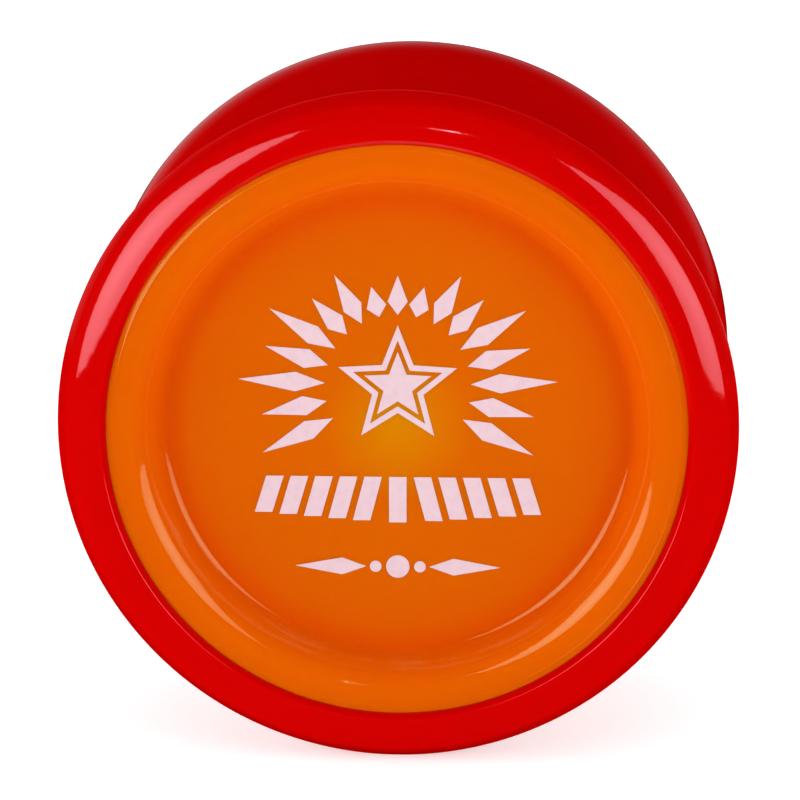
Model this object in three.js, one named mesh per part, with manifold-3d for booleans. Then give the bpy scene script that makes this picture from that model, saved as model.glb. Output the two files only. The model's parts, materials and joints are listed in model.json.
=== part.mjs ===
// A wide-flare ball-bearing yo-yo: two flared plastic halves, each closed by a dished side cap,
// screwed together on a threaded axle with a ball bearing between them.
// Millimetres. The axle lies along Y, +Z is up, and the yo-yo stands on its two rims.
// The origin is the middle of the bearing, and the front half is the one towards -Y.
// Each half is drawn once as the back half, in (r, y) profiles, and the front one is it turned round.

import * as THREE from "three";
import { mergeVertices } from "three/addons/utils/BufferGeometryUtils.js";
import Module from "manifold-3d";

// Driving dimensions
const RIM_RADIUS = 28.9; // largest radius of a half
const RIM_PLANE = 15.5; // distance from the mid-plane to the largest circle
const CREST_RADIUS = 25.15; // circle where the rim reaches furthest out
const CREST_HEIGHT = 17.9; // half of the yo-yo's width
const RIM_EDGE_ROUND = 6.5; // round between the largest circle and the flared flank
const RIM_FACE_ANGLE = 64; // slope of the rim's outer face at the largest circle, in degrees
const RIM_INNER_ROUND = 0.3;
const GAP_HALF = 1.7; // half of the string gap at the response faces
const FLANK_INNER_ROUND = 8; // round between the response face and the flank
const FLANK_INNER_ANGLE = 30; // slope of the flank near the gap, in degrees
const FLANK_OUTER_ANGLE = 40; // slope of the flank near the rim, in degrees
const WALL = 3;

const CAP_RADIUS = 24.6;
const CAP_LIP_HEIGHT = 17.25;
const CAP_LIP_ROUND = 0.25;
const CAP_SHOULDER_RADIUS = 22.95; // where the flat lip starts to curve down into the dish
const CAP_SHOULDER_ROUND = 2.15;
const CAP_WALL_ANGLE = 57; // slope of the dish's wall, in degrees
const CAP_FLOOR_RADIUS = 19.35;
const CAP_FILLET_ROUND = 1.1;
const CAP_THICKNESS = 2;
const CAP_UNDERSIDE_OVERHANG = 0.4; // how far the flat underside runs past the floor
const CAP_SKIRT_RADIUS = 22.9;
const CAP_SEAT_HEIGHT = 15.6; // underside of the cap's lip
const CAP_SKIRT_DROP = 1;
const CAP_SKIRT_WIDTH = 1;
const CAP_FIT = 0.12;

const HUB_RADIUS = 7.2;
const HUB_TOP = 11.2;
const HUB_ROOT = 1; // bevel between the hub and the web, on each side
const NUT_ACROSS_FLATS = 7;
const NUT_THICKNESS = 3.15;
const NUT_SEAT = 7.6;
const NUT_FIT = 0.15;
const NUT_CHAMFER_DROP = 0.8; // where the chamfering cone passes the nut's corners

const AXLE_RADIUS = 2;
const AXLE_HALF_LENGTH = 10.75;
const AXLE_CHAMFER = 0.4;
const AXLE_CLEARANCE = 0.12;

const SPACER_TUBE_RADIUS = 2.45;
const SPACER_FLANGE_RADIUS = 3.3;
const SPACER_FLANGE_START = 2.05;
const SPACER_FLANGE_END = 3.2;
const SPACER_MIDDLE_GAP = 0.1;

const BEARING_BORE = 2.5; // radii of a 5 x 11 x 4 mm bearing
const BEARING_RADIUS = 5.5;
const BEARING_HALF_WIDTH = 2;
const BALL_COUNT = 8;
const BALL_RADIUS = 0.794;
const PITCH_RADIUS = 4;
const RACEWAY_RADIUS = 0.88;
const INNER_LAND = 3.4;
const OUTER_LAND = 4.6;
const RACE_CHAMFER = 0.2;
const SHIELD_SEAT_RADIUS = 4.95;
const SHIELD_SEAT_START = 1.5;
const SHIELD_THICKNESS = 0.15;
const SHIELD_BORE = 3.5;
const SNAP_RING_WIDTH = 0.4;
const SNAP_RING_THICKNESS = 0.15;
const SNAP_RING_OPENING = 30; // degrees left open
const SHIELD_GAP = 0.05;
const CAGE_HALF_WIDTH = 1.15;
const CAGE_HALF_WALL = 0.4;
const POCKET_RADIUS = 0.9;

const PAD_INNER_RADIUS = 7.2;
const PAD_OUTER_RADIUS = 10;
const PAD_DEPTH = 0.6;
const PAD_PROUD = 0.08;
const PAD_FIT = 0.1;

const BEARING_RECESS_RADIUS = 6;
const BEARING_RECESS_FLOOR = 2.3;
const SPACER_FIT = 0.1;

const SHELL_SEGMENTS = 48;
const SMALL_SEGMENTS = 30;
const POCKET_SEGMENTS = 12;
const BALL_SEGMENTS = [10, 6];
const CHORD_HEIGHT = 0.05; // how far an arc's facets may stand off it
const RIM_FACE_STEPS = 3; // facets of each half of the rim's face
const OVERCUT = 1; // how far a cutting tool reaches past what it cuts

const COLOURS = {
  shell: { color: 0xd80202, roughness: 0.18, metalness: 0 },
  cap: { color: 0xe66303, roughness: 0.2, metalness: 0 },
  brass: { color: 0xc9a23f, roughness: 0.3, metalness: 1 },
  steel: { color: 0xb9bcc0, roughness: 0.3, metalness: 1 },
  chrome: { color: 0xe2e4e6, roughness: 0.08, metalness: 1 },
  rubber: { color: 0xe9e4dc, roughness: 0.75, metalness: 0 },
};

const wasm = await Module();
wasm.setup();

const radians = THREE.MathUtils.degToRad;

// Points of an arc in a profile, with angles in degrees from +r towards +y.
function arc(r, y, radius, from, to) {
  const facet = 2 * Math.acos(1 - CHORD_HEIGHT / radius);
  const steps = Math.ceil(radians(Math.abs(to - from)) / facet);
  const points = [];
  for (let i = 0; i <= steps; i++) {
    const angle = radians(from + ((to - from) * i) / steps);
    points.push(new THREE.Vector2(r + radius * Math.cos(angle), y + radius * Math.sin(angle)));
  }
  return points;
}

function at(r, y) {
  return new THREE.Vector2(r, y);
}

// A solid of revolution about Y. A flat of the polygon faces straight down.
function revolved(profile, segments) {
  return new THREE.LatheGeometry(profile, segments, Math.PI / segments);
}

// A ring's profile closes on itself.
function ring(profile, segments) {
  return revolved([...profile, profile[0].clone()], segments);
}

function tube(inner, outer, low, high, segments) {
  const profile = [at(inner, low), at(outer, low), at(outer, high), at(inner, high)];
  return ring(profile, segments);
}

// The solid that a closed geometry bounds, for joining and cutting.
function solid(geometry) {
  const bare = new THREE.BufferGeometry();
  bare.setAttribute("position", geometry.getAttribute("position"));
  bare.setIndex(geometry.getIndex());
  const merged = mergeVertices(bare, 1e-4);
  const corners = merged.getIndex().array;
  const kept = [];
  for (let i = 0; i < corners.length; i += 3) {
    const [a, b, c] = corners.slice(i, i + 3);
    if (a !== b && b !== c && c !== a) {
      kept.push(a, b, c);
    }
  }
  const vertProperties = merged.getAttribute("position").array;
  return new wasm.Manifold(new wasm.Mesh({ numProp: 3, vertProperties, triVerts: new Uint32Array(kept) }));
}

function geometryOf(made) {
  const { vertProperties, triVerts } = made.getMesh();
  const geometry = new THREE.BufferGeometry();
  geometry.setAttribute("position", new THREE.BufferAttribute(vertProperties, 3));
  geometry.setIndex(new THREE.BufferAttribute(triVerts, 1));
  geometry.computeVertexNormals();
  return geometry;
}

function hexagon(acrossFlats) {
  const corner = acrossFlats / Math.sqrt(3);
  const corners = [];
  for (let i = 0; i < 6; i++) {
    const angle = radians(60 * i);
    corners.push(at(corner * Math.cos(angle), corner * Math.sin(angle)));
  }
  return new THREE.Shape(corners);
}

// An outline drawn across the axle, extruded along +Y from low to high.
function extrudedAlongAxle(shape, low, high) {
  const geometry = new THREE.ExtrudeGeometry(shape, { depth: high - low, bevelEnabled: false });
  return geometry.rotateX(-Math.PI / 2).translate(0, low, 0);
}

// The flared flank, from the response face out to the largest circle: a round, a nearly straight
// flank and the rim's edge, each tangent to the next.
function flank() {
  const inner = radians(FLANK_INNER_ANGLE);
  const outer = radians(FLANK_OUTER_ANGLE);
  const edge = at(
    RIM_RADIUS - RIM_EDGE_ROUND + RIM_EDGE_ROUND * Math.sin(outer),
    RIM_PLANE - RIM_EDGE_ROUND * Math.cos(outer),
  );
  const rise = edge.y - GAP_HALF - FLANK_INNER_ROUND * (1 - Math.cos(inner));
  const radius = rise / (Math.cos(inner) - Math.cos(outer));
  const start = at(edge.x - radius * (Math.sin(outer) - Math.sin(inner)), edge.y - rise);
  const faceRadius = start.x - FLANK_INNER_ROUND * Math.sin(inner);
  const centre = at(start.x - radius * Math.sin(inner), start.y + radius * Math.cos(inner));
  const low = FLANK_INNER_ANGLE - 90;
  const high = FLANK_OUTER_ANGLE - 90;
  const outline = [
    ...arc(faceRadius, GAP_HALF + FLANK_INNER_ROUND, FLANK_INNER_ROUND, -90, low),
    ...arc(centre.x, centre.y, radius, low, high).slice(1),
    ...arc(RIM_RADIUS - RIM_EDGE_ROUND, RIM_PLANE, RIM_EDGE_ROUND, high, 0).slice(1),
  ];
  return { outline, centre, radius };
}

// The rim's outer face: a curve that leaves the largest circle at the face's slope, and runs
// smoothly into the last eighth of an ellipse, up to the crest.
function rimFace() {
  const across = RIM_RADIUS - CREST_RADIUS;
  const rise = CREST_HEIGHT - RIM_PLANE;
  const crest = new THREE.EllipseCurve(CREST_RADIUS, RIM_PLANE, across, rise, Math.PI / 4, Math.PI / 2);
  const start = at(RIM_RADIUS, RIM_PLANE);
  const end = crest.getPoint(0);
  const slope = Math.tan(radians(RIM_FACE_ANGLE));
  const endSlope = rise / across;
  const bendInset = (end.y - start.y - endSlope * (start.x - end.x)) / (slope - endSlope);
  const bend = at(start.x - bendInset, start.y + bendInset * slope);
  const face = new THREE.QuadraticBezierCurve(start, bend, end);
  return [...face.getPoints(RIM_FACE_STEPS).slice(1), ...crest.getPoints(RIM_FACE_STEPS).slice(1)];
}

// Hollow behind the cap: the wall keeps its thickness along the flank.
function hollow({ centre, radius }) {
  const mouth = CAP_SKIRT_RADIUS + CAP_FIT;
  const insideRadius = radius - WALL;
  const mouthAngle = THREE.MathUtils.radToDeg(Math.acos((mouth - centre.x) / insideRadius));
  const root = GAP_HALF + PAD_DEPTH + WALL;
  return [
    at(mouth, CAP_SEAT_HEIGHT - CAP_FIT),
    ...arc(centre.x, centre.y, insideRadius, -mouthAngle, FLANK_INNER_ANGLE - 90),
    at(HUB_RADIUS + HUB_ROOT, root),
    at(HUB_RADIUS, root + HUB_ROOT),
  ];
}

// One flared half: flank, rim, seat for the cap, hollow, and a hub with a hexagonal nut pocket.
function halfShell() {
  const sides = flank();
  const seatRadius = CAP_RADIUS + CAP_FIT;
  const bore = AXLE_RADIUS + AXLE_CLEARANCE;
  const profile = [
    at(bore, SPACER_FLANGE_END + SPACER_FIT),
    at(SPACER_FLANGE_RADIUS + SPACER_FIT, SPACER_FLANGE_END + SPACER_FIT),
    at(SPACER_FLANGE_RADIUS + SPACER_FIT, BEARING_RECESS_FLOOR),
    at(BEARING_RECESS_RADIUS, BEARING_RECESS_FLOOR),
    at(BEARING_RECESS_RADIUS, GAP_HALF),
    at(PAD_INNER_RADIUS - PAD_FIT, GAP_HALF),
    at(PAD_INNER_RADIUS - PAD_FIT, GAP_HALF + PAD_DEPTH),
    at(PAD_OUTER_RADIUS + PAD_FIT, GAP_HALF + PAD_DEPTH),
    at(PAD_OUTER_RADIUS + PAD_FIT, GAP_HALF),
    ...sides.outline,
    ...rimFace(),
    ...arc(seatRadius + RIM_INNER_ROUND, CREST_HEIGHT - RIM_INNER_ROUND, RIM_INNER_ROUND, 90, 180),
    at(seatRadius, CAP_SEAT_HEIGHT - CAP_FIT),
    ...hollow(sides),
    at(HUB_RADIUS, HUB_TOP),
    at(bore, HUB_TOP),
  ];
  const pocketShape = hexagon(NUT_ACROSS_FLATS + 2 * NUT_FIT);
  const pocket = extrudedAlongAxle(pocketShape, NUT_SEAT - NUT_FIT, HUB_TOP + OVERCUT);
  return geometryOf(solid(ring(profile, SHELL_SEGMENTS)).subtract(solid(pocket)));
}

// The dished side cap: a flat lip, a rounded shoulder, a sloping wall and a flat floor.
function sideCap() {
  const turn = 90 - CAP_WALL_ANGLE;
  const shoulder = arc(
    CAP_SHOULDER_RADIUS,
    CAP_LIP_HEIGHT - CAP_SHOULDER_ROUND,
    CAP_SHOULDER_ROUND,
    90,
    90 + CAP_WALL_ANGLE,
  );
  const wallTop = shoulder[shoulder.length - 1];
  const slope = Math.tan(radians(CAP_WALL_ANGLE));
  const filletReach = CAP_FILLET_ROUND * Math.cos(radians(turn));
  const filletRise = CAP_FILLET_ROUND * (1 - Math.sin(radians(turn)));
  const wallFootHeight = wallTop.y - (wallTop.x - CAP_FLOOR_RADIUS - filletReach) * slope;
  const floor = wallFootHeight - filletRise;
  const fillet = arc(CAP_FLOOR_RADIUS, floor + CAP_FILLET_ROUND, CAP_FILLET_ROUND, -turn, -90);
  const skirtFoot = CAP_SEAT_HEIGHT - CAP_SKIRT_DROP;
  const profile = [
    at(0, floor - CAP_THICKNESS),
    at(CAP_FLOOR_RADIUS + CAP_UNDERSIDE_OVERHANG, floor - CAP_THICKNESS),
    at(CAP_SKIRT_RADIUS - CAP_SKIRT_WIDTH, skirtFoot),
    at(CAP_SKIRT_RADIUS, skirtFoot),
    at(CAP_SKIRT_RADIUS, CAP_SEAT_HEIGHT),
    at(CAP_RADIUS, CAP_SEAT_HEIGHT),
    ...arc(CAP_RADIUS - CAP_LIP_ROUND, CAP_LIP_HEIGHT - CAP_LIP_ROUND, CAP_LIP_ROUND, 0, 90),
    ...shoulder,
    ...fillet,
    at(0, floor),
  ];
  return revolved(profile, SHELL_SEGMENTS);
}

// The threaded stud, plain along its length and chamfered at both ends.
function axleStud() {
  const profile = [
    at(0, -AXLE_HALF_LENGTH),
    at(AXLE_RADIUS - AXLE_CHAMFER, -AXLE_HALF_LENGTH),
    at(AXLE_RADIUS, AXLE_CHAMFER - AXLE_HALF_LENGTH),
    at(AXLE_RADIUS, AXLE_HALF_LENGTH - AXLE_CHAMFER),
    at(AXLE_RADIUS - AXLE_CHAMFER, AXLE_HALF_LENGTH),
    at(0, AXLE_HALF_LENGTH),
  ];
  return revolved(profile, SMALL_SEGMENTS);
}

// A hexagonal nut with its top corners chamfered by a cone.
function hexNut() {
  const corner = NUT_ACROSS_FLATS / Math.sqrt(3);
  const top = NUT_SEAT + NUT_THICKNESS;
  const bore = AXLE_RADIUS + AXLE_CLEARANCE;
  const body = solid(extrudedAlongAxle(hexagon(NUT_ACROSS_FLATS), NUT_SEAT, top));
  const turned = ring(
    [
      at(bore, NUT_SEAT - OVERCUT),
      at(corner + OVERCUT, NUT_SEAT - OVERCUT),
      at(corner + OVERCUT, top - NUT_CHAMFER_DROP),
      at(NUT_ACROSS_FLATS / 2, top),
      at(bore, top),
    ],
    SMALL_SEGMENTS,
  );
  return geometryOf(body.intersect(solid(turned)));
}

// A flanged spacer: its tube centres the bearing and its flange sits in the half.
function spacer() {
  const bore = AXLE_RADIUS + AXLE_CLEARANCE;
  const profile = [
    at(bore, SPACER_MIDDLE_GAP),
    at(SPACER_TUBE_RADIUS, SPACER_MIDDLE_GAP),
    at(SPACER_TUBE_RADIUS, SPACER_FLANGE_START),
    at(SPACER_FLANGE_RADIUS, SPACER_FLANGE_START),
    at(SPACER_FLANGE_RADIUS, SPACER_FLANGE_END),
    at(bore, SPACER_FLANGE_END),
  ];
  return ring(profile, SMALL_SEGMENTS);
}

function responsePad() {
  return tube(
    PAD_INNER_RADIUS,
    PAD_OUTER_RADIUS,
    GAP_HALF - PAD_PROUD,
    GAP_HALF + PAD_DEPTH - PAD_FIT,
    SHELL_SEGMENTS,
  );
}

// Half of the angle that a raceway's arc covers, down to a land of the given radius.
function racewayAngle(land) {
  return THREE.MathUtils.radToDeg(Math.acos(Math.abs(PITCH_RADIUS - land) / RACEWAY_RADIUS));
}

function innerRace() {
  const reach = racewayAngle(INNER_LAND);
  const profile = [
    at(BEARING_BORE, -BEARING_HALF_WIDTH),
    at(INNER_LAND - RACE_CHAMFER, -BEARING_HALF_WIDTH),
    at(INNER_LAND, RACE_CHAMFER - BEARING_HALF_WIDTH),
    ...arc(PITCH_RADIUS, 0, RACEWAY_RADIUS, 180 + reach, 180 - reach),
    at(INNER_LAND, BEARING_HALF_WIDTH - RACE_CHAMFER),
    at(INNER_LAND - RACE_CHAMFER, BEARING_HALF_WIDTH),
    at(BEARING_BORE, BEARING_HALF_WIDTH),
  ];
  return ring(profile, SMALL_SEGMENTS);
}

function outerRace() {
  const reach = racewayAngle(OUTER_LAND);
  const profile = [
    at(SHIELD_SEAT_RADIUS, -BEARING_HALF_WIDTH),
    at(BEARING_RADIUS - RACE_CHAMFER, -BEARING_HALF_WIDTH),
    at(BEARING_RADIUS, RACE_CHAMFER - BEARING_HALF_WIDTH),
    at(BEARING_RADIUS, BEARING_HALF_WIDTH - RACE_CHAMFER),
    at(BEARING_RADIUS - RACE_CHAMFER, BEARING_HALF_WIDTH),
    at(SHIELD_SEAT_RADIUS, BEARING_HALF_WIDTH),
    at(SHIELD_SEAT_RADIUS, SHIELD_SEAT_START),
    at(OUTER_LAND, SHIELD_SEAT_START),
    ...arc(PITCH_RADIUS, 0, RACEWAY_RADIUS, reach, -reach),
    at(OUTER_LAND, -SHIELD_SEAT_START),
    at(SHIELD_SEAT_RADIUS, -SHIELD_SEAT_START),
  ];
  return ring(profile, SMALL_SEGMENTS);
}

// The ring that keeps the balls apart, with one round pocket for each.
function ballCage() {
  let cage = solid(
    tube(
      PITCH_RADIUS - CAGE_HALF_WALL,
      PITCH_RADIUS + CAGE_HALF_WALL,
      -CAGE_HALF_WIDTH,
      CAGE_HALF_WIDTH,
      SMALL_SEGMENTS,
    ),
  );
  for (let i = 0; i < BALL_COUNT; i++) {
    const pocket = new THREE.CylinderGeometry(
      POCKET_RADIUS,
      POCKET_RADIUS,
      2 * RACEWAY_RADIUS,
      POCKET_SEGMENTS,
    );
    pocket.translate(0, PITCH_RADIUS, 0).rotateX(Math.PI / 2).rotateY(ballAngle(i));
    cage = cage.subtract(solid(pocket));
  }
  return geometryOf(cage);
}

function ballAngle(i) {
  return (2 * Math.PI * i) / BALL_COUNT;
}

function shield() {
  return tube(
    SHIELD_BORE,
    SHIELD_SEAT_RADIUS - SHIELD_GAP,
    SHIELD_SEAT_START + SHIELD_GAP,
    SHIELD_SEAT_START + SHIELD_GAP + SHIELD_THICKNESS,
    SMALL_SEGMENTS,
  );
}

// The open wire ring that holds a shield in the outer race.
function snapRing() {
  const outer = SHIELD_SEAT_RADIUS - 2 * SHIELD_GAP;
  const from = radians(SNAP_RING_OPENING / 2);
  const shape = new THREE.Shape();
  shape.absarc(0, 0, outer, from, 2 * Math.PI - from, false);
  shape.absarc(0, 0, outer - SNAP_RING_WIDTH, 2 * Math.PI - from, from, true);
  shape.closePath();
  const low = SHIELD_SEAT_START + 2 * SHIELD_GAP + SHIELD_THICKNESS;
  return extrudedAlongAxle(shape, low, low + SNAP_RING_THICKNESS);
}

function piece(name, geometry, colour) {
  const mesh = new THREE.Mesh(geometry, new THREE.MeshStandardMaterial(COLOURS[colour]));
  mesh.name = name;
  return mesh;
}

// The pieces that each half has, drawn on the +Y side.
const HALF_PIECES = [
  ["half_shell", halfShell, "shell"],
  ["side_cap", sideCap, "cap"],
  ["hex_nut", hexNut, "brass"],
  ["spacer", spacer, "brass"],
  ["response_pad", responsePad, "rubber"],
  ["bearing_shield", shield, "steel"],
  ["bearing_snap_ring", snapRing, "steel"],
];

function half(side) {
  const group = new THREE.Group();
  for (const [name, make, colour] of HALF_PIECES) {
    group.add(piece(`${side}_${name}`, make(), colour));
  }
  return group;
}

const yoyo = new THREE.Group();

yoyo.add(half("back"));

const front = half("front");
front.rotation.z = Math.PI;
yoyo.add(front);

yoyo.add(piece("axle_stud", axleStud(), "steel"));
yoyo.add(piece("bearing_inner_race", innerRace(), "steel"));
yoyo.add(piece("bearing_outer_race", outerRace(), "steel"));
yoyo.add(piece("bearing_cage", ballCage(), "brass"));

for (let i = 0; i < BALL_COUNT; i++) {
  const sphere = new THREE.SphereGeometry(BALL_RADIUS, ...BALL_SEGMENTS);
  const ball = piece(`bearing_ball_${i + 1}`, sphere, "chrome");
  ball.position.set(PITCH_RADIUS * Math.sin(ballAngle(i)), 0, PITCH_RADIUS * Math.cos(ballAngle(i)));
  yoyo.add(ball);
}

export default yoyo;
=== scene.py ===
import json
import math

import bmesh
import bpy
from mathutils import Matrix, Vector

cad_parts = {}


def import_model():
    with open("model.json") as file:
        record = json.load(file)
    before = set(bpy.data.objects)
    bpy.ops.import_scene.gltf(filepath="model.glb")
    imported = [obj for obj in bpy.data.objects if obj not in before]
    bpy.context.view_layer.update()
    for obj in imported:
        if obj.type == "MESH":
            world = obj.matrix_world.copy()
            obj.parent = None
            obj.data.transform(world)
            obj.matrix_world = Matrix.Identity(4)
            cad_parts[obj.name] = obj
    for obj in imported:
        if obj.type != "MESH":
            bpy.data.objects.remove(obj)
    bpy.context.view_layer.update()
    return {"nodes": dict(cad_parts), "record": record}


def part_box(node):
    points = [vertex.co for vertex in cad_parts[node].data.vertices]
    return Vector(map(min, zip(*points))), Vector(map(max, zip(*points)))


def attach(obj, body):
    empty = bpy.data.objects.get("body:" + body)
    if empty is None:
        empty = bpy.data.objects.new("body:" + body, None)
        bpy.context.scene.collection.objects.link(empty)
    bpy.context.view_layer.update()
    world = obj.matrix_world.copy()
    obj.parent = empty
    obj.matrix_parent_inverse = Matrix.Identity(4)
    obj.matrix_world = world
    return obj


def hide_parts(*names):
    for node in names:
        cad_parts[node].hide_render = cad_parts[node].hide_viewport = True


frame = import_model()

# A wide-flare ball-bearing yo-yo standing on its two rims, seen from the front and a little above.
# Profiles are (r, y) points in millimetres, drawn for the back half; the front half is it turned round.

MM = 0.001
SHELL_SIDES = 48  # sides of the CAD model's large round pieces
SMALL_SIDES = 30  # and of its small ones


def top_of(node):
    """The highest corner of a CAD node, in millimetres."""
    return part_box(node)[1] / MM


def round_radius(node, sides):
    """The radius of a round CAD piece, whose polygon has a flat at each end of the box."""
    return top_of(node).x / math.cos(math.pi / sides)


# Sizes that the frame gives
RIM_RADIUS = round_radius("back_half_shell", SHELL_SIDES)
CREST_HEIGHT = top_of("back_half_shell").y
GAP_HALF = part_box("back_half_shell")[0].y / MM
CAP_RADIUS = round_radius("back_side_cap", SHELL_SIDES)
CAP_LIP_HEIGHT = top_of("back_side_cap").y
PAD_OUTER_RADIUS = round_radius("back_response_pad", SHELL_SIDES)
PAD_FACE, PAD_BACK = (corner.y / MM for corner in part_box("back_response_pad"))
AXLE_RADIUS = round_radius("axle_stud", SMALL_SIDES)
AXLE_HALF_LENGTH = top_of("axle_stud").y
BEARING_RADIUS = round_radius("bearing_outer_race", SMALL_SIDES)
BEARING_HALF_WIDTH = top_of("bearing_outer_race").y
NUT_SEAT, NUT_TOP = (corner.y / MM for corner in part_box("back_hex_nut"))
NUT_ACROSS_FLATS = 2 * top_of("back_hex_nut").z
SPACER_END = top_of("back_spacer").y
SPACER_FLANGE_RADIUS = round_radius("back_spacer", SMALL_SIDES)

# Shape details
RIM_PLANE = 15.5  # distance from the mid-plane to the largest circle
CREST_RADIUS = 25.15
RIM_EDGE_ROUND = 6.5  # on the flank's side of the largest circle
RIM_FACE_ANGLE = 64  # the face's normal at the largest circle, from the axle
RIM_CHAMFER = 0.37  # round the cap
RIM_CHAMFER_ANGLE = 46
RIM_INNER_ROUND = 0.12
PARTING_LINE_ROUND = 0.09
PARTING_LINE_DEPTH = 0.063  # of the round's centre inside the rim
FLANK_INNER_ROUND = 8
FLANK_INNER_ANGLE = 30
FLANK_OUTER_ANGLE = 40
WALL = 3
CAP_LIP_ROUND = 0.03
CAP_BEAD_RADIUS = 24.1  # of a very low bead round the lip
CAP_BEAD_ROUND = 0.16
CAP_BEAD_ANGLE = 24
CAP_SHOULDER_RADIUS = 22.95
CAP_SHOULDER_ROUND = 2.15
CAP_WALL_ANGLE = 57
CAP_FLOOR_RADIUS = 19.35
CAP_FILLET_ROUND = 1.05
CAP_THICKNESS = 2
CAP_UNDERSIDE_OVERHANG = 0.4
CAP_SKIRT_RADIUS = 22.9
CAP_SKIRT_WIDTH = 1
CAP_SKIRT_LENGTH = 1
CAP_SEAT_HEIGHT = 15.6
CAP_FIT = 0.002
HUB_RADIUS = 7.2
HUB_TOP = 11.2
HUB_ROOT = 1  # width and height of the slope at the hub's foot
NUT_LEDGE = 2.4  # between the bore and the hub's pocket
NUT_CHAMFER = 0.35
NUT_BORE_CHAMFER = 0.2
NUT_CORNER_GAP = 0.05
SPACER_TUBE_RADIUS = 2.45
SPACER_ROUND = 0.08
SPACER_FIT = 0.05  # to the bearing
PAD_DEPTH = 0.6
PAD_INNER_RADIUS = 7.2
PAD_DOME = 0.12
FIT = 0.1
BEARING_RECESS_RADIUS = 6
BEARING_RECESS_FLOOR = 2.3
RECESS_ROUND = 0.2
GROOVE_ROUND = 0.1
THREAD_PITCH = 0.7
THREAD_DEPTH = 0.38
THREAD_RUN_OUT = 0.5
THREAD_FIT = 0.01
THREAD_STEPS = 10  # profile points in a turn
AXLE_CHAMFER = 0.4
BEARING_BORE_RADIUS = 2.5
PITCH_RADIUS = 4
RACEWAY_RADIUS = 0.86
INNER_LAND = 3.4
OUTER_LAND = 4.6
RACE_ROUND = 0.2
SHIELD_SEAT_RADIUS = 4.95
SHIELD_SEAT_START = 1.5
SHIELD_BORE_RADIUS = 3.5
SHIELD_THICKNESS = 0.15
SHIELD_STEP = 0.07  # that its middle stands out
SHIELD_STEP_WIDTH = 0.08
SHIELD_BORE_CHAMFER = 0.1
SHIELD_RIM_WIDTH = 0.45
SHIELD_FIT = 0.05
INK_THICKNESS = 0.03

# Camera: its distance in rim radii, its angles in degrees and its lens in millimetres
CAMERA_DISTANCE = 12.19
CAMERA_AZIMUTH = 2.73
CAMERA_ELEVATION = 12.54
CAMERA_LENS = 179
CAMERA_SHIFT = (-0.00725, -0.0139)

LARGE = 288  # segments round a large piece
SMALL = 96
SHARP_ANGLE = 32  # beyond which an edge isn't smoothed over
FLOOR_RADIUS = 3.0  # in metres, like LIGHT_DISTANCE
LIGHT_DISTANCE = 0.8
LIGHT_EDGE = 0.6  # a light's brightness towards its corners, against its middle
LIGHT_REACH = 0.62  # distance from its middle, in widths, at which it has fallen to that


# Profiles

def arc(r, y, radius, start, end, steps):
    """Points of an arc, with angles in degrees from +r towards +y."""
    angles = [math.radians(start + (end - start) * i / steps) for i in range(steps + 1)]
    return [(r + radius * math.cos(a), y + radius * math.sin(a)) for a in angles]


def line(start, end, steps):
    """Points between two points, without the ends."""
    return [
        tuple(a + (b - a) * i / steps for a, b in zip(start, end)) for i in range(1, steps)
    ]


def curve(start, bend, end, steps):
    """A quadratic curve from start to end that leaves and arrives towards bend."""
    ts = [i / steps for i in range(steps + 1)]
    return [
        tuple((1 - t) ** 2 * a + 2 * t * (1 - t) * b + t * t * c for a, b, c in zip(start, bend, end))
        for t in ts
    ]


def rounded(corners, radius, steps=4):
    """A closed outline with each corner rounded off."""
    points = []
    for i, corner in enumerate(corners):
        here = Vector(corner)
        before = (Vector(corners[i - 1]) - here).normalized() * radius
        after = (Vector(corners[(i + 1) % len(corners)]) - here).normalized() * radius
        for k in range(steps + 1):
            t = k / steps
            points.append(tuple(here + before * (1 - t) ** 2 + after * t ** 2))
    return points


def flank():
    """The flared flank from the response face to the largest circle, and the arc of its side."""
    inner = math.radians(FLANK_INNER_ANGLE)
    outer = math.radians(FLANK_OUTER_ANGLE)
    edge_r = RIM_RADIUS - RIM_EDGE_ROUND * (1 - math.sin(outer))
    edge_y = RIM_PLANE - RIM_EDGE_ROUND * math.cos(outer)
    rise = edge_y - GAP_HALF - FLANK_INNER_ROUND * (1 - math.cos(inner))
    radius = rise / (math.cos(inner) - math.cos(outer))
    start_r = edge_r - radius * (math.sin(outer) - math.sin(inner))
    start_y = edge_y - rise
    centre = (start_r - radius * math.sin(inner), start_y + radius * math.cos(inner))
    face_radius = start_r - FLANK_INNER_ROUND * math.sin(inner)
    low, high = FLANK_INNER_ANGLE - 90, FLANK_OUTER_ANGLE - 90
    points = arc(face_radius, GAP_HALF + FLANK_INNER_ROUND, FLANK_INNER_ROUND, -90, low, 16)
    points += arc(*centre, radius, low, high, 12)[1:]
    points += arc(RIM_RADIUS - RIM_EDGE_ROUND, RIM_PLANE, RIM_EDGE_ROUND, high, 0, 14)[1:-1]
    return points, centre, radius


def parting_line():
    """The fine raised line that the mould leaves at the largest circle."""
    centre_y = RIM_PLANE - PARTING_LINE_ROUND / 2
    return arc(RIM_RADIUS - PARTING_LINE_DEPTH, centre_y, PARTING_LINE_ROUND, -20, 70, 6)


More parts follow.
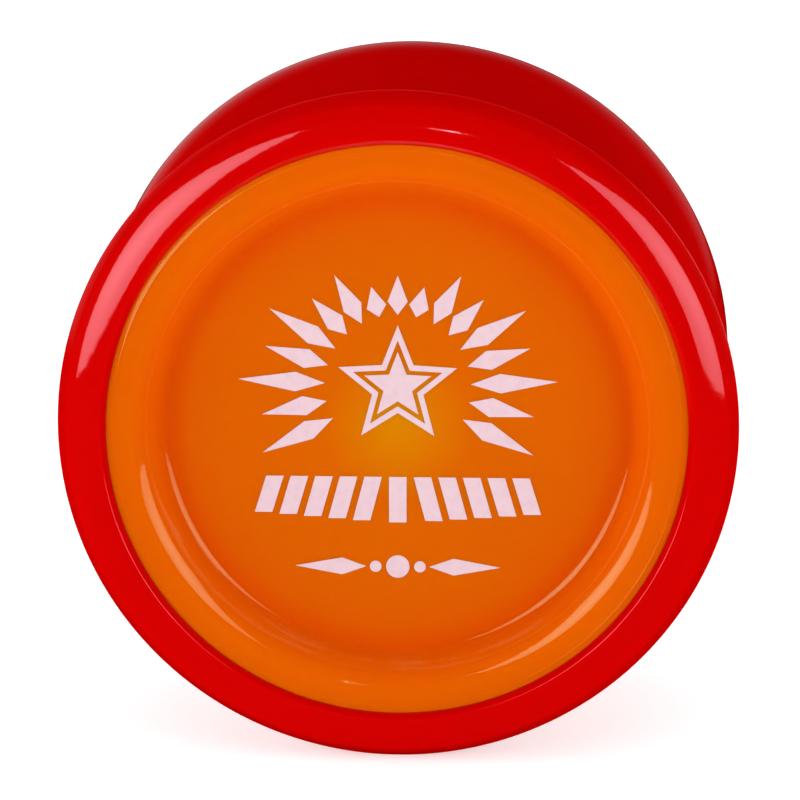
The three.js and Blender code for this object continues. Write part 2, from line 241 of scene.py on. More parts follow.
def rim_face():
    """The rim's outer face: steep at the largest circle, then an eighth of an ellipse to the crest."""
    across, rise = RIM_RADIUS - CREST_RADIUS, CREST_HEIGHT - RIM_PLANE
    angles = [math.radians(45 + 45 * i / 24) for i in range(25)]
    ellipse = [
        (CREST_RADIUS + across * math.cos(a), RIM_PLANE + rise * math.sin(a)) for a in angles
    ]
    low_slope, high_slope = math.tan(math.radians(RIM_FACE_ANGLE)), rise / across
    start, end = (RIM_RADIUS, RIM_PLANE), ellipse[0]
    drop, reach = end[1] - start[1], start[0] - end[0]
    out = (drop - high_slope * reach) / (low_slope - high_slope)
    bend = (start[0] - out, start[1] + out * low_slope)
    return curve(start, bend, end, 20)[1:-1] + ellipse


def half_profile():
    sides, centre, radius = flank()
    seat = CAP_RADIUS + CAP_FIT
    brink = seat + RIM_CHAMFER + RIM_INNER_ROUND
    chamfer = math.radians(RIM_CHAMFER_ANGLE)
    chamfer_width = RIM_CHAMFER + RIM_INNER_ROUND * (1 - math.sin(chamfer))
    chamfer_top = CREST_HEIGHT - RIM_INNER_ROUND * (1 - math.cos(chamfer))
    chamfer_foot = chamfer_top - chamfer_width * math.tan(chamfer)
    mouth = CAP_SKIRT_RADIUS + FIT
    bore = AXLE_RADIUS + FIT
    inside = radius - WALL
    mouth_angle = math.degrees(math.acos((mouth - centre[0]) / inside))
    pocket = SPACER_FLANGE_RADIUS + FIT
    root = GAP_HALF + PAD_DEPTH + WALL
    recess_edge = BEARING_RECESS_RADIUS + RECESS_ROUND
    groove_inside = PAD_INNER_RADIUS - FIT
    groove_outside = PAD_OUTER_RADIUS + FIT
    return [
        (bore, SPACER_END + FIT),
        (pocket, SPACER_END + FIT),
        (pocket, BEARING_RECESS_FLOOR),
        (BEARING_RECESS_RADIUS, BEARING_RECESS_FLOOR),
        *arc(recess_edge, GAP_HALF + RECESS_ROUND, RECESS_ROUND, 180, 270, 4),
        *arc(groove_inside - GROOVE_ROUND, GAP_HALF + GROOVE_ROUND, GROOVE_ROUND, -90, 0, 4),
        (groove_inside, GAP_HALF + PAD_DEPTH),
        (groove_outside, GAP_HALF + PAD_DEPTH),
        *arc(groove_outside + GROOVE_ROUND, GAP_HALF + GROOVE_ROUND, GROOVE_ROUND, 180, 270, 4),
        *sides,
        *parting_line(),
        *rim_face(),
        *arc(brink, CREST_HEIGHT - RIM_INNER_ROUND, RIM_INNER_ROUND, 92, 90 + RIM_CHAMFER_ANGLE, 8),
        (seat, chamfer_foot),
        (seat, CAP_SEAT_HEIGHT - FIT),
        (mouth, CAP_SEAT_HEIGHT - FIT),
        *arc(*centre, inside, -mouth_angle, FLANK_INNER_ANGLE - 90, 6),
        (HUB_RADIUS + HUB_ROOT, root),
        (HUB_RADIUS, root + HUB_ROOT),
        (HUB_RADIUS, HUB_TOP),
        (bore + NUT_LEDGE, HUB_TOP),
        (bore + NUT_LEDGE, NUT_SEAT - FIT),
        (bore, NUT_SEAT - FIT),
    ]


def cap_wall():
    """The shoulder, wall and fillet of the dish, from the lip in to the floor."""
    turn = 90 - CAP_WALL_ANGLE
    shoulder = arc(
        CAP_SHOULDER_RADIUS,
        CAP_LIP_HEIGHT - CAP_SHOULDER_ROUND,
        CAP_SHOULDER_ROUND,
        90,
        90 + CAP_WALL_ANGLE,
        14,
    )
    reach = CAP_FILLET_ROUND * math.cos(math.radians(turn))
    foot_r = CAP_FLOOR_RADIUS + reach
    foot_y = shoulder[-1][1] - (shoulder[-1][0] - foot_r) * math.tan(math.radians(CAP_WALL_ANGLE))
    floor = foot_y - CAP_FILLET_ROUND * (1 - math.sin(math.radians(turn)))
    fillet = arc(CAP_FLOOR_RADIUS, floor + CAP_FILLET_ROUND, CAP_FILLET_ROUND, -turn, -90, 10)
    return shoulder + line(shoulder[-1], (foot_r, foot_y), 4) + fillet, floor


CAP_FLOOR = cap_wall()[1]


def cap_profile():
    wall, floor = cap_wall()
    skirt_foot = CAP_SEAT_HEIGHT - CAP_SKIRT_LENGTH
    lip_r, lip_y = CAP_RADIUS - CAP_LIP_ROUND, CAP_LIP_HEIGHT - CAP_LIP_ROUND
    bead_y = CAP_LIP_HEIGHT - CAP_BEAD_ROUND * math.cos(math.radians(CAP_BEAD_ANGLE))
    bead_ends = (90 - CAP_BEAD_ANGLE, 90 + CAP_BEAD_ANGLE)
    bead = arc(CAP_BEAD_RADIUS, bead_y, CAP_BEAD_ROUND, *bead_ends, 10)
    return [
        (0, floor - CAP_THICKNESS),
        (CAP_FLOOR_RADIUS + CAP_UNDERSIDE_OVERHANG, floor - CAP_THICKNESS),
        (CAP_SKIRT_RADIUS - CAP_SKIRT_WIDTH, skirt_foot),
        (CAP_SKIRT_RADIUS, skirt_foot),
        (CAP_SKIRT_RADIUS, CAP_SEAT_HEIGHT),
        (CAP_RADIUS, CAP_SEAT_HEIGHT),
        *arc(lip_r, lip_y, CAP_LIP_ROUND, 0, 90, 6),
        *bead,
        *line(bead[-1], wall[0], 4)[1:],
        *wall,
        *line(wall[-1], (0, floor), 8),
        (0, floor),
    ]


# Meshes

def lathe(name, profile, segments, closed=True, shape=None):
    """A solid of revolution about Y. shape(r, y, angle) can change the radius round the piece."""
    bm = bmesh.new()
    rings = []
    for r, y in profile:
        if r < 1e-6:
            rings.append([bm.verts.new((0, y * MM, 0))])
            continue
        ring = []
        for i in range(segments):
            a = 2 * math.pi * i / segments
            radius = (shape(r, y, a) if shape else r) * MM
            ring.append(bm.verts.new((radius * math.sin(a), y * MM, radius * math.cos(a))))
        rings.append(ring)
    pairs = list(zip(rings, rings[1:]))
    if closed:
        pairs.append((rings[-1], rings[0]))
    for low, high in pairs:
        for i in range(segments):
            j = i + 1
            corners = (
                low[i % len(low)],
                low[j % len(low)],
                high[j % len(high)],
                high[i % len(high)],
            )
            corners = list(dict.fromkeys(corners))
            if len(corners) > 2:
                bm.faces.new(corners)
    bmesh.ops.recalc_face_normals(bm, faces=bm.faces)
    return finished(name, bm)


def finished(name, bm):
    mesh = bpy.data.meshes.new(name)
    bm.to_mesh(mesh)
    bm.free()
    mesh.shade_smooth()
    mesh.set_sharp_from_angle(angle=math.radians(SHARP_ANGLE))
    obj = bpy.data.objects.new(name, mesh)
    bpy.context.scene.collection.objects.link(obj)
    return obj


def turned_round(obj):
    """Turns a piece drawn for the back half into the front half's."""
    obj.data.transform(Matrix.Rotation(math.pi, 4, "Z"))
    return obj


def flared_half(name):
    return lathe(name, half_profile(), LARGE)


def dished_cap(name):
    return lathe(name, cap_profile(), LARGE, closed=False)


def thread(r, y, angle):
    """A screw thread's radius: full at the crests, less its depth at the roots."""
    ends = min(1, (AXLE_HALF_LENGTH - abs(y)) / THREAD_RUN_OUT)
    across = (y / THREAD_PITCH - angle / (2 * math.pi)) % 1
    cut = THREAD_DEPTH * (1 - abs(2 * across - 1)) * ends
    return min(r, AXLE_RADIUS - THREAD_FIT - cut)


def stud():
    steps = int(2 * AXLE_HALF_LENGTH / THREAD_PITCH * THREAD_STEPS)
    ys = [-AXLE_HALF_LENGTH + 2 * AXLE_HALF_LENGTH * i / steps for i in range(steps + 1)]
    end_radius = AXLE_RADIUS - AXLE_CHAMFER
    full = [(min(AXLE_RADIUS, end_radius + AXLE_HALF_LENGTH - abs(y)), y) for y in ys]
    profile = [(0, -AXLE_HALF_LENGTH), *full, (0, AXLE_HALF_LENGTH)]
    return lathe("threaded_stud", profile, SMALL, closed=False, shape=thread)


def hexagonal(r, y, angle):
    """A hexagon's radius at an angle, where it is less than r. Its corners lie along X."""
    from_flat = (angle + math.pi / 6) % (math.pi / 3) - math.pi / 6
    return min(r, NUT_ACROSS_FLATS / 2 / math.cos(from_flat))


def nut(name):
    corner = NUT_ACROSS_FLATS / math.sqrt(3)
    face = NUT_ACROSS_FLATS / 2 - NUT_CORNER_GAP
    bore = AXLE_RADIUS + FIT
    profile = [
        (bore + NUT_BORE_CHAMFER, NUT_SEAT),
        (face, NUT_SEAT),
        (corner, NUT_SEAT + NUT_CHAMFER),
        (corner, NUT_TOP - NUT_CHAMFER),
        (face, NUT_TOP),
        (bore + NUT_BORE_CHAMFER, NUT_TOP),
        (bore, NUT_TOP - NUT_BORE_CHAMFER),
        (bore, NUT_SEAT + NUT_BORE_CHAMFER),
    ]
    return lathe(name, profile, SMALL, shape=hexagonal)


def spacer(name):
    bore = AXLE_RADIUS + FIT
    shoulder = BEARING_HALF_WIDTH + SPACER_FIT
    corners = [
        (bore, FIT),
        (SPACER_TUBE_RADIUS, FIT),
        (SPACER_TUBE_RADIUS, shoulder),
        (SPACER_FLANGE_RADIUS, shoulder),
        (SPACER_FLANGE_RADIUS, SPACER_END),
        (bore, SPACER_END),
    ]
    return lathe(name, rounded(corners, SPACER_ROUND), SMALL)


def pad(name):
    """A ring of silicone with a slightly domed face."""
    middle = (PAD_INNER_RADIUS + PAD_OUTER_RADIUS) / 2
    half_width = (PAD_OUTER_RADIUS - PAD_INNER_RADIUS) / 2
    domed = [
        (middle + half_width * x / 8, PAD_FACE + PAD_DOME * (x / 8) ** 4) for x in range(-8, 9)
    ]
    return lathe(name, [*domed, (PAD_OUTER_RADIUS, PAD_BACK), (PAD_INNER_RADIUS, PAD_BACK)], LARGE)


def raceway(land):
    """Half of the angle that a raceway covers, down to its land."""
    return math.degrees(math.acos(abs(PITCH_RADIUS - land) / RACEWAY_RADIUS))


def outer_race():
    reach = raceway(OUTER_LAND)
    width = BEARING_HALF_WIDTH
    profile = [
        (SHIELD_SEAT_RADIUS, -width),
        *arc(BEARING_RADIUS - RACE_ROUND, RACE_ROUND - width, RACE_ROUND, -90, 0, 6),
        *arc(BEARING_RADIUS - RACE_ROUND, width - RACE_ROUND, RACE_ROUND, 0, 90, 6),
        (SHIELD_SEAT_RADIUS, width),
        (SHIELD_SEAT_RADIUS, SHIELD_SEAT_START),
        (OUTER_LAND, SHIELD_SEAT_START),
        *arc(PITCH_RADIUS, 0, RACEWAY_RADIUS, reach, -reach, 12),
        (OUTER_LAND, -SHIELD_SEAT_START),
        (SHIELD_SEAT_RADIUS, -SHIELD_SEAT_START),
    ]
    return lathe("bearing_ring_ground", profile, SMALL)


def inner_race():
    reach = raceway(INNER_LAND)
    width = BEARING_HALF_WIDTH
    profile = [
        (BEARING_BORE_RADIUS, -width),
        *arc(INNER_LAND - RACE_ROUND, RACE_ROUND - width, RACE_ROUND, -90, 0, 6),
        *arc(PITCH_RADIUS, 0, RACEWAY_RADIUS, 180 + reach, 180 - reach, 12),
        *arc(INNER_LAND - RACE_ROUND, width - RACE_ROUND, RACE_ROUND, 0, 90, 6),
        (BEARING_BORE_RADIUS, width),
    ]
    return lathe("bearing_cone_ground", profile, SMALL)


def shield(name):
    low = SHIELD_SEAT_START + SHIELD_FIT
    high = low + SHIELD_THICKNESS
    outer = SHIELD_SEAT_RADIUS - SHIELD_FIT
    step = outer - SHIELD_RIM_WIDTH
    profile = [
        (SHIELD_BORE_RADIUS, low),
        (outer, low),
        (outer, high),
        (step + SHIELD_STEP_WIDTH, high),
        (step, high + SHIELD_STEP),
        (SHIELD_BORE_RADIUS + SHIELD_BORE_CHAMFER, high + SHIELD_STEP),
        (SHIELD_BORE_RADIUS, high),
    ]
    return lathe(name, profile, SMALL)


# The print: a generic star with rays, slanted bars and dots, in (right, up) millimetres

def star(outer, inner):
    points = []
    for i in range(10):
        a = math.radians(90 + 36 * i)
        r = inner if i % 2 else outer
        points.append((STAR_CENTRE[0] + r * math.cos(a), STAR_CENTRE[1] + r * math.sin(a)))
    return points


def disc(centre, radius, segments=40):
    angles = [2 * math.pi * i / segments for i in range(segments)]
    return [(centre[0] + radius * math.cos(a), centre[1] + radius * math.sin(a)) for a in angles]


def ray(centre, angle, start, end, width):
    """A long kite that widens quickly from its inner point and tapers to its outer one."""
    along = Vector((math.cos(angle), math.sin(angle)))
    across = Vector((-along.y, along.x)) * width / 2
    middle = start + (end - start) * 0.34
    points = [along * start, along * middle - across, along * end, along * middle + across]
    return [tuple(Vector(centre) + p) for p in points]


def slab(bm, outline, hole=None):
    """A thin flat piece of ink, with a hole of as many corners as its outline if one is given."""
    low, high = CAP_FLOOR - INK_THICKNESS / 3, CAP_FLOOR + INK_THICKNESS * 2 / 3

    def ring(points, y):
        return [bm.verts.new((-u * MM, y * MM, v * MM)) for u, v in points]

    loops = [outline] + ([hole] if hole else [])
    made = [(ring(points, low), ring(points, high)) for points in loops]
    for bottom, top in made:
        for i in range(len(top)):
            bm.faces.new((bottom[i - 1], bottom[i], top[i], top[i - 1]))
    for level in (0, 1):
        if not hole:
            bm.faces.new(made[0][level])
            continue
        outside, inside = made[0][level], made[1][level]
        for i in range(len(outside)):
            bm.faces.new((outside[i - 1], outside[i], inside[i], inside[i - 1]))


STAR_CENTRE = (0, 3.4)
STAR_OUTLINE = (5.3, 2.3)  # radius of the points and of the corners between them
STAR_HOLE = (4.0, 1.72)
STAR_CORE = (3.0, 1.28)
RAYS = 17
RAY_FIRST_ANGLE = -27
RAY_SPREAD = 234
RAY_START = 6.2
RAY_REACH = 9.6  # of a ray that points up
RAY_EXTRA_REACH = 4.0  # of a level one
RAY_SHORTENING = 0.88  # of every other ray
RAY_WIDTH = 1.7
BARS = 11
BAR_PITCH = 2.1
BAR_WIDTH = 1.5
BAR_TOP = -4.5
BAR_HEIGHT = 4.0  # of the middle one
BAR_SHORTENING = 0.16  # from each bar to the next one out
BAR_SLANT = 1
ORNAMENT_HEIGHT = -12.4


def print_motif(name):
    bm = bmesh.new()
    slab(bm, star(*STAR_OUTLINE), star(*STAR_HOLE))
    slab(bm, star(*STAR_CORE))
    for i in range(RAYS):
        angle = math.radians(RAY_FIRST_ANGLE + RAY_SPREAD * i / (RAYS - 1))
        reach = RAY_REACH + RAY_EXTRA_REACH * abs(math.cos(angle)) ** 1.5
        if i % 2:
            reach *= RAY_SHORTENING
        slab(bm, ray(STAR_CENTRE, angle, RAY_START, reach, RAY_WIDTH))
    for i in range(BARS):
        place = i - (BARS - 1) / 2
        slant = BAR_SLANT * ((place > 0) - (place < 0))
        left, right = place * BAR_PITCH - BAR_WIDTH / 2, place * BAR_PITCH + BAR_WIDTH / 2
        foot = BAR_TOP - BAR_HEIGHT + BAR_SHORTENING * abs(place)
        slab(bm, [(left + slant, foot), (right + slant, foot), (right, BAR_TOP), (left, BAR_TOP)])
    for side in (-1, 1):
        slab(bm, ray((0, ORNAMENT_HEIGHT), math.pi / 2 * (1 - side), 2.7, 8.8, 1.5))
        slab(bm, disc((side * 1.9, ORNAMENT_HEIGHT), 0.5))
    slab(bm, disc((0, ORNAMENT_HEIGHT), 1.0))
    bmesh.ops.recalc_face_normals(bm, faces=bm.faces)
    return finished(name, bm)


# Materials

class Nodes:
    """A material with short names for making and joining its nodes."""

    def __init__(self, name):
        self.material = bpy.data.materials.new(name)
        self.material.use_nodes = True
        self.tree = self.material.node_tree
        self.shader = self.tree.nodes["Principled BSDF"]
        self.place = self.add("ShaderNodeTexCoord").outputs["Object"]

    def add(self, kind, **values):
        node = self.tree.nodes.new(kind)
        for key, value in values.items():
            setattr(node, key, value)
        return node

    def join(self, source, target):
        self.tree.links.new(source, target)

    def set(self, **values):
        for key, value in values.items():
            self.shader.inputs[key.replace("_", " ")].default_value = value

    def noise(self, size, detail=3, roughness=0.5):
        """Noise with features of about this size in metres, as a value from 0 to 1."""
        node = self.add("ShaderNodeTexNoise")
        node.inputs["Scale"].default_value = 1 / size
        node.inputs["Detail"].default_value = detail
        node.inputs["Roughness"].default_value = roughness
        self.join(self.place, node.inputs["Vector"])
        return node.outputs["Fac"]

    def ramp(self, value, stops):
        """Maps a value to colours or greys: stops are (position, colour or grey)."""
        node = self.add("ShaderNodeValToRGB")
        elements = node.color_ramp.elements
        while len(elements) < len(stops):
            elements.new(0.5)
        for element, (position, colour) in zip(elements, stops):
            element.position = position
            element.color = colour if isinstance(colour, tuple) else (colour,) * 3 + (1,)
        self.join(value, node.inputs["Fac"])
        return node.outputs["Color"]

    def multiplied(self, a, b):
        """Two colours multiplied together."""
        node = self.add("ShaderNodeMix", data_type="RGBA", blend_type="MULTIPLY")
        sockets = {socket.identifier: socket for socket in [*node.inputs, *node.outputs]}
        sockets["Factor_Float"].default_value = 1.0
        self.join(a, sockets["A_Color"])
        self.join(b, sockets["B_Color"])
        return sockets["Result_Color"]

    def bump(self, value, height, below=None):
        node = self.add("ShaderNodeBump")
        node.inputs["Distance"].default_value = height
        node.inputs["Strength"].default_value = 1.0
        self.join(value, node.inputs["Height"])
        if below:
            self.join(below, node.inputs["Normal"])
        return node.outputs["Normal"]

    def coordinates(self):
        parts = self.add("ShaderNodeSeparateXYZ")
        self.join(self.place, parts.inputs[0])
        return parts

    def from_axle(self):
        """Distance from the axle, in metres."""
        parts = self.coordinates()
        flat = self.add("ShaderNodeCombineXYZ")
        self.join(parts.outputs["X"], flat.inputs["X"])
        self.join(parts.outputs["Z"], flat.inputs["Z"])
        length = self.add("ShaderNodeVectorMath", operation="LENGTH")
        self.join(flat.outputs[0], length.inputs[0])
        return length.outputs["Value"]

    def from_middle(self):
        """Distance from the plane between the halves, in metres."""
        size = self.add("ShaderNodeMath", operation="ABSOLUTE")
        self.join(self.coordinates().outputs["Y"], size.inputs[0])
        return size.outputs["Value"]

    def scaled(self, value, low, high):
        """value from low to high as 0 to 1."""
        node = self.add("ShaderNodeMapRange")
        node.inputs["From Min"].default_value = low
        node.inputs["From Max"].default_value = high
        self.join(value, node.inputs["Value"])
        return node.outputs["Result"]


ROUGHNESS = 0.05
PEEL = 0.000008  # the height of the orange peel, in metres


def moulded_plastic(name, distance, tints_and_painted_light, gloss):
    """Glossy moulded plastic with a fine orange peel, an uneven tint and faint smudges in the gloss.

    distance is a Nodes method, and tints are (that distance in millimetres, colour) pairs, which give
    the plastic's colour and the painted light and shade laid on it by place.
    """
    n = Nodes(name)
    reach = tints_and_painted_light[-1][0]
    stops = [(at / reach, colour) for at, colour in tints_and_painted_light]
    # colour by place, with painted light and shade in it
    tint = n.ramp(n.scaled(distance(n), 0, reach * MM), stops)
    uneven = n.ramp(n.noise(0.012), [(0.3, 0.97), (0.7, 1.0)])
    n.join(n.multiplied(tint, uneven), n.shader.inputs["Base Color"])
    smudges = n.ramp(n.noise(0.006, 5, 0.6), [(0.35, ROUGHNESS), (0.75, ROUGHNESS + 0.03)])
    n.join(smudges, n.shader.inputs["Roughness"])
    coarse = n.bump(n.noise(0.0011, 2), PEEL)
    n.join(n.bump(n.noise(0.0003, 2), PEEL / 5, coarse), n.shader.inputs["Normal"])
    n.set(IOR=1.5, Subsurface_Weight=0.6, Subsurface_Scale=0.0015)
    n.set(Subsurface_Radius=(1.0, 0.4, 0.1), Specular_Tint=gloss)
    return n


def red_plastic():
    """The halves' red, with painted shade that makes it deeper on the flanks."""
    # Painted shade: darker within 11 mm of the middle, rising to the rim's red by 15.2 mm
    tints_and_painted_light = [(0, 0.48), (11, 0.48), (15.2, 0.545), (CREST_HEIGHT, 0.545)]
    colours = [(y, (red, 0.0002, 0.0002, 1)) for y, red in tints_and_painted_light]
    n = moulded_plastic("red_plastic", Nodes.from_middle, colours, gloss=(1.0, 0.5, 0.56, 1))
    n.set(Specular_IOR_Level=1.0)
    return n.material


def orange_plastic():
    """The cap's orange: yellower over the hub, where brass behind it shows through, and a little darker
    over the floor than on the lip. Painted shade deepens it in the corner round the dish's floor, and
    painted light lightens it on the dish's wall and at the lip's outer edge."""
    tints_and_painted_light = [
        (0, (0.605, 0.208)),
        (2.5, (0.605, 0.173)),
        (6.5, (0.605, 0.113)),
        (15, (0.61, 0.104)),
        (17.8, (0.62, 0.094)),
        # painted shade: deeper orange in the corner round the dish's floor
        (19.0, (0.63, 0.076)),
        (19.75, (0.665, 0.071)),
        # painted light: lighter on the dish's steep wall
        (20.8, (0.72, 0.101)),
        (22.4, (0.645, 0.106)),
        (24.0, (0.645, 0.103)),
        # painted light: lighter at the lip's outer edge
        (CAP_RADIUS, (0.76, 0.116)),
    ]
    colours = [(r, (*colour, 0.0002, 1)) for r, colour in tints_and_painted_light]
    n = moulded_plastic("orange_plastic", Nodes.from_axle, colours, gloss=(0.8, 1.0, 0.5, 1))
    n.set(Specular_IOR_Level=0.56)
    return n.material


def ink():
    """Pinkish-white pad-printing ink, a little uneven, with the orange showing faintly through."""
    n = Nodes("print_ink")
    tint = n.ramp(
        n.noise(0.0009, 4, 0.65),
        [
            (0.3, (0.62, 0.43, 0.475, 1)),
            (0.55, (0.665, 0.475, 0.525, 1)),
            (0.8, (0.65, 0.485, 0.49, 1)),
        ],
    )
    n.join(tint, n.shader.inputs["Base Color"])
    n.join(n.ramp(n.noise(0.0004), [(0.3, 0.3), (0.7, 0.42)]), n.shader.inputs["Roughness"])
    n.join(n.bump(n.noise(0.00025, 3), 0.000003), n.shader.inputs["Normal"])
    return n.material


TOOL_MARKS = 0.00012  # apart, in metres


def metal(name, light, dark, roughness):
    """Turned metal: rings of fine tool marks about the axle, with a faint stain."""
    n = Nodes(name)
    n.set(Metallic=0.6)
    tint = n.ramp(n.noise(0.0015, 4), [(0.3, dark), (0.7, light)])
    n.join(tint, n.shader.inputs["Base Color"])
    wear = n.ramp(n.noise(0.0007, 4), [(0.3, roughness), (0.8, roughness + 0.12)])
    n.join(wear, n.shader.inputs["Roughness"])
    rings = n.add("ShaderNodeTexNoise", noise_dimensions="1D")
    rings.inputs["Scale"].default_value = 1 / TOOL_MARKS
    n.join(n.from_axle(), rings.inputs["W"])
    n.join(n.bump(rings.outputs["Fac"], 0.0000015), n.shader.inputs["Normal"])
    return n.material


def silicone():
    n = Nodes("silicone_pad")
    tint = n.ramp(n.noise(0.002, 4), [(0.3, (0.62, 0.58, 0.52, 1)), (0.7, (0.7, 0.67, 0.62, 1))])
    n.join(tint, n.shader.inputs["Base Color"])
    n.join(n.ramp(n.noise(0.0006, 3), [(0.3, 0.55), (0.7, 0.7)]), n.shader.inputs["Roughness"])
    n.join(n.bump(n.noise(0.0002, 3), 0.000006), n.shader.inputs["Normal"])
    n.set(Subsurface_Weight=0.1, Subsurface_Scale=0.0008)
    return n.material


def pale_floor():
    n = Nodes("pale_floor")
    n.set(Base_Color=(0.8, 0.8, 0.8, 1), Roughness=0.9, Specular_IOR_Level=0.0)
    n.set(Emission_Color=(1, 1, 1, 1), Emission_Strength=0.5)
    return n.material


MATERIALS = {
    "shell_red": red_plastic(),
    "cap_orange": orange_plastic(),
    "ink": ink(),
    "brass": metal("turned_brass", (0.7, 0.47, 0.16, 1), (0.6, 0.38, 0.11, 1), 0.22),
    "axle_steel": metal("plated_steel", (0.55, 0.56, 0.58, 1), (0.42, 0.43, 0.45, 1), 0.28),
    "bearing_steel": metal("bearing_steel", (0.68, 0.69, 0.71, 1), (0.58, 0.59, 0.61, 1), 0.14),
    "ball_chrome": metal("ball_steel", (0.8, 0.81, 0.83, 1), (0.74, 0.75, 0.77, 1), 0.05),
    "pad": silicone(),
}


# Placing the pieces

def place(obj, body, slot, replaced=(), material=None):
    obj.data.materials.clear()
    obj.data.materials.append(MATERIALS[material or slot])
    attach(obj, body)
    if replaced:
        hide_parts(*replaced)
    return obj


HALF_PIECES = [
    ("flared_half", flared_half, "shell_red", "half_shell"),
    ("dished_cap", dished_cap, "cap_orange", "side_cap"),
    ("clamp_nut", nut, "brass", "hex_nut"),
    ("flanged_spacer", spacer, "brass", "spacer"),
    ("silicone_ring", pad, "pad", "response_pad"),
    ("dust_shield", shield, "bearing_steel", "bearing_shield"),
]

bodies = frame["record"]["behaviour"]["bodies"]
body_of_node = {node: body for body, nodes in bodies.items() for node in nodes}
slot_of_node = {part["node"]: part["material_slot"] for part in frame["record"]["subparts"]}

for side in ("back", "front"):
    for name, make, slot, node in HALF_PIECES:
        piece = make(f"{side}_{name}")
        if side == "front":
            turned_round(piece)
        place(piece, body_of_node[f"{side}_{node}"], slot, [f"{side}_{node}"])
    motif = print_motif(f"{side}_cap_print")
    if side == "front":
        turned_round(motif)
    place(motif, body_of_node[f"{side}_side_cap"], "cap_orange", material="ink")

place(stud(), body_of_node["axle_stud"], "axle_steel", ["axle_stud"])
place(outer_race(), body_of_node["bearing_outer_race"], "bearing_steel", ["bearing_outer_race"])
place(inner_race(), body_of_node["bearing_inner_race"], "bearing_steel", ["bearing_inner_race"])

# The cage, the balls and the snap rings keep the CAD model's shapes
for node, obj in frame["nodes"].items():
    if obj.hide_render:
        continue
    obj.data.materials.clear()
    obj.data.materials.append(MATERIALS[slot_of_node[node]])


# Stage, lights and camera

def floor():
    bm = bmesh.new()
    bmesh.ops.create_circle(bm, cap_ends=True, segments=96, radius=FLOOR_RADIUS)
    obj = finished("floor", bm)
    obj.location.z = -RIM_RADIUS * MM
    obj.data.materials.append(pale_floor())
    obj.visible_glossy = False


def direction(side, up):
    """A unit vector so many degrees to the right of the front (-Y) and above the floor."""
    side, up = math.radians(side), math.radians(up)
    return Vector((math.sin(side) * math.cos(up), -math.cos(side) * math.cos(up), math.sin(up)))


def softbox(name, side, up, wide, tall, radiance, glossy=True):
    """A soft panel facing the yo-yo, so many degrees wide and tall, dimmer towards its edges."""
    width, height = (2 * LIGHT_DISTANCE * math.tan(math.radians(a / 2)) for a in (wide, tall))
    light = bpy.data.lights.new(name, "AREA")
    light.shape = "RECTANGLE"
    light.size, light.size_y = width, height
    light.energy = radiance * math.pi * width * height
    light.use_nodes = True
    tree = light.node_tree
    coordinates = tree.nodes.new("ShaderNodeTexCoord")
    from_centre = tree.nodes.new("ShaderNodeVectorMath")
    from_centre.operation = "DISTANCE"
    from_centre.inputs[1].default_value = (0.5, 0.5, 0)
    fall = tree.nodes.new("ShaderNodeMapRange")
    fall.interpolation_type = "SMOOTHSTEP"
    fall.inputs["From Max"].default_value = LIGHT_REACH
    fall.inputs["To Min"].default_value = 1.0
    fall.inputs["To Max"].default_value = LIGHT_EDGE
    tree.links.new(coordinates.outputs["UV"], from_centre.inputs[0])
    tree.links.new(from_centre.outputs["Value"], fall.inputs["Value"])
    tree.links.new(fall.outputs["Result"], tree.nodes["Emission"].inputs["Strength"])
    obj = bpy.data.objects.new(name, light)
    away = direction(side, up)
    obj.location = away * LIGHT_DISTANCE
    obj.rotation_mode = "QUATERNION"
    obj.rotation_quaternion = away.to_track_quat("Z", "Y")
    obj.visible_glossy = glossy
    bpy.context.scene.collection.objects.link(obj)


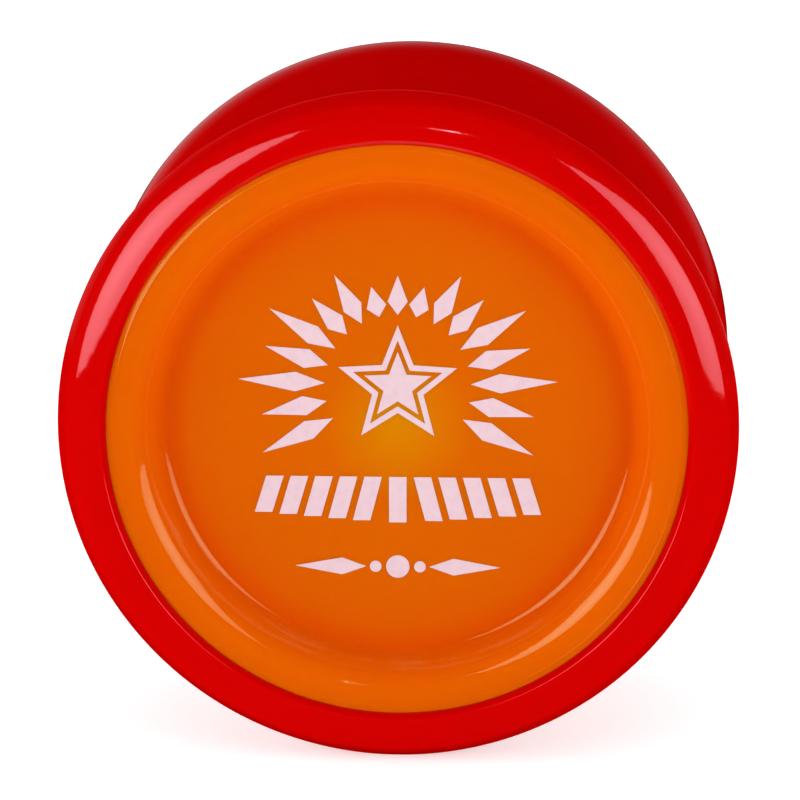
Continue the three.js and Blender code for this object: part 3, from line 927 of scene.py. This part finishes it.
def world():
    """Soft light from all round, dimmest from the front. Gloss sees a dark room instead, with a pale
    wall behind the yo-yo that is brightest just above the floor and on the left."""
    made = bpy.data.worlds.new("studio")
    made.use_nodes = True
    bpy.context.scene.world = made
    tree = made.node_tree
    background = tree.nodes["Background"]
    background.inputs["Color"].default_value = (1, 1, 1, 1)
    parts = tree.nodes.new("ShaderNodeSeparateXYZ")
    tree.links.new(tree.nodes.new("ShaderNodeTexCoord").outputs["Generated"], parts.inputs[0])
    seen = tree.nodes.new("ShaderNodeLightPath")

    def fade(axis, start, end, low, high):
        node = tree.nodes.new("ShaderNodeMapRange")
        ends = {"From Min": start, "From Max": end, "To Min": low, "To Max": high}
        for socket, value in ends.items():
            node.inputs[socket].default_value = value
        tree.links.new(parts.outputs[axis], node.inputs["Value"])
        return node.outputs["Result"]

    strength = fade("Y", 0.45, 0.95, 0.005, 0.42)
    dimmers = (
        fade("Z", -0.05, 0.05, 0.0, 1.0),
        fade("Z", 0.25, 0.75, 1.0, 0.1),
        fade("X", -0.2, 0.2, 1.0, 0.5),
    )
    for dimmer in dimmers:
        wall = tree.nodes.new("ShaderNodeMath")
        wall.operation = "MULTIPLY"
        tree.links.new(strength, wall.inputs[0])
        tree.links.new(dimmer, wall.inputs[1])
        strength = wall.outputs["Value"]
    all_round = fade("Y", -0.7, 0.0, 0.1, 0.6)
    for kind, value in (("Is Diffuse Ray", all_round), ("Is Camera Ray", 1.0)):
        mix = tree.nodes.new("ShaderNodeMix")
        if isinstance(value, float):
            mix.inputs["B"].default_value = value
        else:
            tree.links.new(value, mix.inputs["B"])
        tree.links.new(seen.outputs[kind], mix.inputs["Factor"])
        tree.links.new(strength, mix.inputs["A"])
        strength = mix.outputs["Result"]
    tree.links.new(strength, background.inputs["Strength"])


def camera():
    data = bpy.data.cameras.new("camera")
    data.lens = CAMERA_LENS
    data.sensor_width = 36
    data.shift_x, data.shift_y = CAMERA_SHIFT
    data.clip_start, data.clip_end = 0.01, 20
    back = direction(CAMERA_AZIMUTH, CAMERA_ELEVATION)
    obj = bpy.data.objects.new("camera", data)
    obj.location = back * CAMERA_DISTANCE * RIM_RADIUS * MM
    obj.rotation_mode = "QUATERNION"
    obj.rotation_quaternion = back.to_track_quat("Z", "Y")
    bpy.context.scene.collection.objects.link(obj)
    bpy.context.scene.camera = obj


floor()
softbox("softbox_left", -37.5, 11.8, 40, 33.5, 4.3)
softbox("softbox_right", 46.5, 11.5, 44, 35, 3.5)
softbox("small_front_light", 2, 14, 2.0, 0.8, 40.0)
softbox("left_fill", -85, 0, 70, 70, 2.3, glossy=False)
softbox("right_fill", 85, 0, 70, 70, 1.3, glossy=False)
softbox("top_fill", 0, 62, 80, 50, 0.5, glossy=False)
softbox("rear_fill", 180, 20, 90, 60, 1.3, glossy=False)
world()
camera()
bpy.context.scene.view_settings.view_transform = "Standard"
